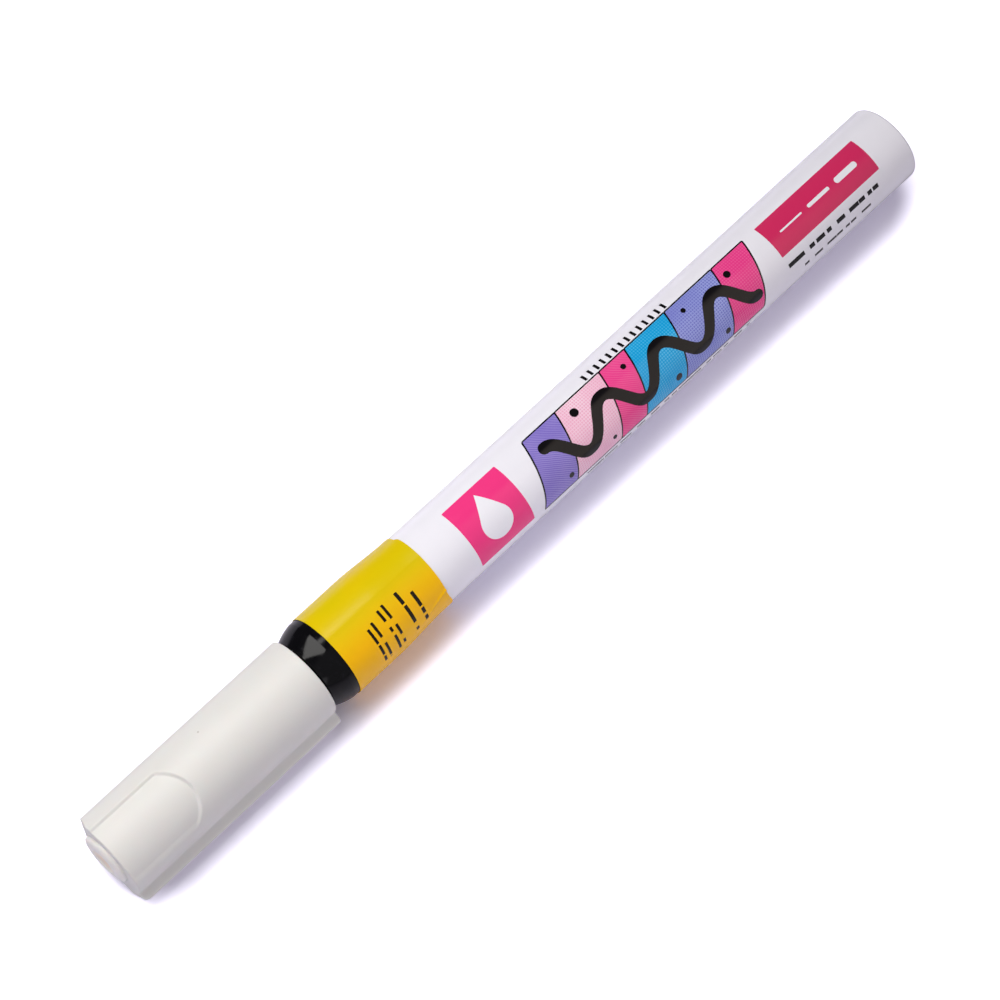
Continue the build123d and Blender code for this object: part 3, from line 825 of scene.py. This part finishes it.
def capReach(x, angle, end, mouth, wall):
    tip = end - capMould["endProud"]
    top = wall + capMould["ribHeight"]
    top -= cornerDrop(x - tip, capMould["noseRound"]) + cornerDrop(mouth - x, capMould["mouthRound"])
    reach = sectionReach(angle, wall, top)
    for side in (-1, 1):
        recessAngle = math.radians(capMould["ribAngle"] + side * capMould["recessTurn"])
        turn = math.remainder(angle - recessAngle, math.tau)
        if abs(turn) < math.radians(capMould["recessSpan"]):
            reach -= recessSink(side * turn, wall) * recessShare(x - end, side * turn, wall)
    return reach - cornerDrop(x - tip, capMould["edgeRound"]) - cornerDrop(mouth - x, capMould["edgeRound"])


def slantedEnd(x, y, tip):
    slant = capMould["endSlant"]
    return x + slant["slope"] * max(y - slant["start"], 0) * max(1 - (x - tip) / slant["length"], 0)


def capStations(end, mouth):
    # places of the outside's rings, from the closed end to the mouth
    steps = capRings["roundSteps"]
    rounding = [capMould["edgeRound"] * (1 - math.cos(math.pi / 2 * i / steps)) for i in range(steps + 1)]
    tip = end - capMould["endProud"]
    fineStart = tip + capRings["endZone"]
    fineEnd = end + capMould["recessStraight"] + capMould["recessArch"] + capRings["finePast"]
    mouthStart = mouth - capRings["mouthZone"]
    fineCount = round((fineEnd - tip) / capRings["fine"])
    coarseCount = round((mouthStart - fineEnd) / capRings["coarse"])
    stations = [tip + drop for drop in rounding]
    stations += [fineStart + (fineEnd - fineStart) * i / fineCount for i in range(fineCount)]
    stations += [fineEnd + (mouthStart - fineEnd) * i / coarseCount for i in range(coarseCount)]
    stations += [mouthStart + capRings["mouthStep"] * i for i in range(capRings["mouthCount"])]
    return stations + [mouth - drop for drop in reversed(rounding)]


def buildCap():
    low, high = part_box("cap_shell")
    end, mouth, wall = low.x / mm, high.x / mm, high.z / mm
    tip, floorX = end - capMould["endProud"], end + capMould["endWall"]
    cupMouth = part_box("inner_cap")[1].x / mm
    lip, hole = capMould["lipBevel"], capMould["holeRadius"]
    liner, bore = capMould["linerBore"], capMould["mouthBore"]
    rings = [(x, None) for x in capStations(end, mouth)]  # the outside, whose radius is worked out
    rings += [(mouth, bore + lip), (mouth - lip, bore)]
    rings += [(cupMouth, bore), (cupMouth - capMould["boreBevel"], liner)]
    rings += [(floorX, liner), (floorX, hole), (tip + lip, hole), (tip, hole + lip)]
    bm = bmesh.new()
    bmesh.ops.create_circle(bm, segments=capMould["steps"], radius=wall * mm)
    bmesh.ops.rotate(bm, verts=bm.verts, matrix=Matrix.Rotation(math.radians(90), 3, "Y"))
    verts, edges = bm.verts[:], bm.edges[:]
    firstRing = edges
    for count, (x, radius) in enumerate(rings):
        if count:
            made = bmesh.ops.extrude_edge_only(bm, edges=edges)["geom"]
            verts = [g for g in made if isinstance(g, bmesh.types.BMVert)]
            fresh = set(verts)
            edges = [g for g in made if isinstance(g, bmesh.types.BMEdge) and fresh.issuperset(g.verts)]
        for vert in verts:
            angle = math.atan2(vert.co.y, vert.co.z)
            reach = radius or capReach(x, angle, end, mouth, wall)
            y = reach * math.sin(angle)
            vert.co = Vector((slantedEnd(x, y, tip), y, reach * math.cos(angle))) * mm
    bmesh.ops.bridge_loops(bm, edges=firstRing + edges)
    bmesh.ops.recalc_face_normals(bm, faces=bm.faces)
    return finishPiece("capMoulding", bm, mouldedPolypropylene(), "cap", "cap_shell")


buildCap()

# the inner cap is turned in one outline: gate dimple, domed boss, cup
innerCup = {
    "cupWall": 1.15,
    "cupFloor": 1.20,
    "mouthRound": (0.12, 3),  # width and segments
    "bossRadius": 3.65,
    "bossInset": 0.25,  # of the boss's end from the plain solid's
    "dome": (0.52, 1.20),  # of the boss's edge, along the axis and towards it
    "domeSteps": 10,
    "dimpleRadius": 1.95,
    "dimpleDepth": 0.30,
    "steps": 160,
}
linerPlastic = {
    "colour": "F1EFEA",
    "flow": "ECE9E3",
    "flowSize": 2.0,
    "dimple": "F4DDC8",
    "dimpleFade": 0.8,  # from the dimple's rim inwards
}


def naturalPolyethylene():
    # natural polyethylene: waxy and milky, light gathers in the gate dimple in the middle of its boss
    look = linerPlastic
    material, tree, shader = startMaterial("naturalPolyethylene", Roughness=0.42, IOR=1.5,
                                           Subsurface_Weight=0.12, Subsurface_Scale=0.8 * mm)
    place = addNode(tree, "ShaderNodeTexCoord", output="Object")
    flow = addNode(tree, "ShaderNodeTexNoise",
                   {"Vector": place, "Scale": 1 / (look["flowSize"] * mm), "Detail": 2.0})
    colour = addNode(tree, "ShaderNodeMix", {0: flow, 6: linear(look["colour"]), 7: linear(look["flow"])},
                     output=2, data_type="RGBA")
    split = addNode(tree, "ShaderNodeSeparateXYZ", (place,)).node.outputs
    across = addNode(tree, "ShaderNodeCombineXYZ", {"Y": split["Y"], "Z": split["Z"]})
    away = addNode(tree, "ShaderNodeVectorMath", (across,), output="Value", operation="LENGTH")
    rim = innerCup["dimpleRadius"] * mm
    inside = addNode(tree, "ShaderNodeMapRange", (away, rim, rim - look["dimpleFade"] * mm, 0.0, 1.0))
    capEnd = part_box("cap_shell")[0].x
    outer = addNode(tree, "ShaderNodeMath", (split["X"], capEnd), operation="LESS_THAN")
    tinted = addNode(tree, "ShaderNodeMath", (inside, outer), operation="MULTIPLY")
    colour = addNode(tree, "ShaderNodeMix", {0: tinted, 6: colour, 7: linear(look["dimple"])}, output=2,
                     data_type="RGBA")
    tree.links.new(colour, shader.inputs["Base Color"])
    return material


def buildInnerCap():
    low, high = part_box("inner_cap")
    end, mouth, radius = low.x / mm + innerCup["bossInset"], high.x / mm, high.z / mm
    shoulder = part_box("cap_shell")[0].x / mm + capMould["endWall"]
    boss, bore = innerCup["bossRadius"], radius - innerCup["cupWall"]
    dimple, sunk = innerCup["dimpleRadius"], end + innerCup["dimpleDepth"]
    outline = [(sunk, 0), (sunk, dimple - innerCup["dimpleDepth"]), (end, dimple)]
    length, inward = innerCup["dome"]
    for step in range(innerCup["domeSteps"] + 1):
        turn = math.pi / 2 * step / innerCup["domeSteps"]
        outline.append((end + length * (1 - math.cos(turn)), boss - inward * (1 - math.sin(turn))))
    floorX = shoulder + innerCup["cupFloor"]
    outline += [(shoulder, boss), (shoulder, radius), (mouth, radius)]
    outline += [(mouth, bore), (floorX, bore), (floorX, 0)]
    bm = spinOutline(outline, innerCup["steps"])
    for rim in (radius, bore):
        bevelRing(bm, mouth, rim, *innerCup["mouthRound"])
    return finishPiece("innerCapMoulding", bm, naturalPolyethylene(), "cap", "inner_cap")


buildInnerCap()

# finishes of the pieces that keep their CAD mesh, pattern sizes in millimetres
# a range is first the pattern's own, then what it gives
blackPlastic = {
    "colour": "09090B",
    "dust": "15151A",
    "dustSize": 0.7143,
    "dustRange": (0.55, 0.75, 0.0, 0.6),
    "roughness": (0.4, 0.7, 0.10, 0.17),
    "waveSize": 2.222,
    "wave": {"Strength": 0.15, "Distance": 0.03 * mm},
}
nibFibre = {
    "colour": "EFEADD",
    # darker colour painted as shade in the gaps between fibres
    "gap": "D8D0BC",
    "fibreSize": 0.18,
    "drawn": (0.03, 1, 1),  # the fibres run along the axis
    "gapShadeRange": (0.35, 0.65, 1.0, 0.0),
    "relief": {"Strength": 0.5, "Distance": 0.03 * mm},
}
valvePlastic = {
    "colour": "EAE7DC",
    "flow": "E1DDD0",
    "flowSize": 1.667,
    "roughness": (0.3, 0.7, 0.26, 0.38),
}
gasketRubber = {
    "colour": "1B1B1D",
    "bloom": "2B2B2E",
    "bloomSize": 0.5,
    "grain": {"Strength": 0.3, "Distance": 0.02 * mm},
}
ballSteel = {
    "colour": "C7C9CD",
    "worn": "AEB0B5",
    "knockSize": 0.8333,
    "wornRange": (0.45, 0.65, 0.0, 1.0),
    "roughness": (0.0, 1.0, 0.12, 0.30),
}


def glossyStyrene():
    # moulded black styrene: deep gloss, a slight sink-mark waviness and a trace of dust
    look = blackPlastic
    material, tree, shader = startMaterial("glossyStyrene", IOR=1.46, Specular_IOR_Level=0.22)
    place = addNode(tree, "ShaderNodeTexCoord", output="Object")
    dust = addNode(tree, "ShaderNodeTexNoise",
                   {"Vector": place, "Scale": 1 / (look["dustSize"] * mm), "Detail": 4.0})
    settled = addNode(tree, "ShaderNodeMapRange", (dust, *look["dustRange"]))
    colour = addNode(tree, "ShaderNodeMix", {0: settled, 6: linear(look["colour"]), 7: linear(look["dust"])},
                     output=2, data_type="RGBA")
    tree.links.new(colour, shader.inputs["Base Color"])
    gloss = addNode(tree, "ShaderNodeMapRange", (dust, *look["roughness"]))
    tree.links.new(gloss, shader.inputs["Roughness"])
    waves = addNode(tree, "ShaderNodeTexNoise",
                    {"Vector": place, "Scale": 1 / (look["waveSize"] * mm), "Detail": 1.0})
    bump = addNode(tree, "ShaderNodeBump", {**look["wave"], "Height": waves})
    tree.links.new(bump, shader.inputs["Normal"])
    return material


def bondedPolyester():
    # bonded polyester fibre: matt off-white with fine lengthwise lines of painted shade between the fibres
    look = nibFibre
    material, tree, shader = startMaterial("bondedPolyester", Roughness=0.85, IOR=1.5, Sheen_Weight=0.2)
    place = addNode(tree, "ShaderNodeTexCoord", output="Object")
    drawn = addNode(tree, "ShaderNodeMapping", {"Vector": place, "Scale": look["drawn"]})
    fibres = addNode(tree, "ShaderNodeTexNoise",
                     {"Vector": drawn, "Scale": 1 / (look["fibreSize"] * mm), "Detail": 3.0})
    # painted shade: darker lines where the fibres leave gaps
    lines = addNode(tree, "ShaderNodeMapRange", (fibres, *look["gapShadeRange"]))
    colour = addNode(tree, "ShaderNodeMix", {0: lines, 6: linear(look["colour"]), 7: linear(look["gap"])},
                     output=2, data_type="RGBA")
    tree.links.new(colour, shader.inputs["Base Color"])
    bump = addNode(tree, "ShaderNodeBump", {**look["relief"], "Height": fibres})
    tree.links.new(bump, shader.inputs["Normal"])
    return material


def naturalAcetal():
    # natural acetal: dense milky white with a slippery sheen, faint flow marks from the gate
    look = valvePlastic
    material, tree, shader = startMaterial("naturalAcetal", IOR=1.48, Subsurface_Weight=0.15,
                                           Subsurface_Scale=0.6 * mm)
    place = addNode(tree, "ShaderNodeTexCoord", output="Object")
    flow = addNode(tree, "ShaderNodeTexNoise",
                   {"Vector": place, "Scale": 1 / (look["flowSize"] * mm), "Detail": 3.0})
    colour = addNode(tree, "ShaderNodeMix", {0: flow, 6: linear(look["colour"]), 7: linear(look["flow"])},
                     output=2, data_type="RGBA")
    tree.links.new(colour, shader.inputs["Base Color"])
    sheen = addNode(tree, "ShaderNodeMapRange", (flow, *look["roughness"]))
    tree.links.new(sheen, shader.inputs["Roughness"])
    return material


def nitrileRubber():
    # nitrile rubber: matt near-black with a slight grey bloom and a fine grain
    look = gasketRubber
    material, tree, shader = startMaterial("nitrileRubber", Roughness=0.75, IOR=1.52)
    place = addNode(tree, "ShaderNodeTexCoord", output="Object")
    bloom = addNode(tree, "ShaderNodeTexNoise",
                    {"Vector": place, "Scale": 1 / (look["bloomSize"] * mm), "Detail": 4.0})
    colour = addNode(tree, "ShaderNodeMix", {0: bloom, 6: linear(look["colour"]), 7: linear(look["bloom"])},
                     output=2, data_type="RGBA")
    tree.links.new(colour, shader.inputs["Base Color"])
    bump = addNode(tree, "ShaderNodeBump", {**look["grain"], "Height": bloom})
    tree.links.new(bump, shader.inputs["Normal"])
    return material


def tumbledSteel():
    # tumbled steel: bright, with small dull patches where the ball has knocked the can
    look = ballSteel
    material, tree, shader = startMaterial("tumbledSteel", Metallic=1.0)
    place = addNode(tree, "ShaderNodeTexCoord", output="Object")
    knocks = addNode(tree, "ShaderNodeTexNoise",
                     {"Vector": place, "Scale": 1 / (look["knockSize"] * mm), "Detail": 5.0})
    worn = addNode(tree, "ShaderNodeMapRange", (knocks, *look["wornRange"]))
    colour = addNode(tree, "ShaderNodeMix", {0: worn, 6: linear(look["colour"]), 7: linear(look["worn"])},
                     output=2, data_type="RGBA")
    tree.links.new(colour, shader.inputs["Base Color"])
    polish = addNode(tree, "ShaderNodeMapRange", (worn, *look["roughness"]))
    tree.links.new(polish, shader.inputs["Roughness"])
    return material


acetal = naturalAcetal()
finishes = {
    "front_section": glossyStyrene(),
    "nib": bondedPolyester(),
    "valve_seat": acetal,
    "valve_stem": acetal,
    "valve_cage": acetal,
    "valve_gasket": nitrileRubber(),
    "mixing_ball": tumbledSteel(),
}
for node, material in finishes.items():
    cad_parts[node].material_slots[0].material = material
print("finishes set:", ", ".join(finishes))
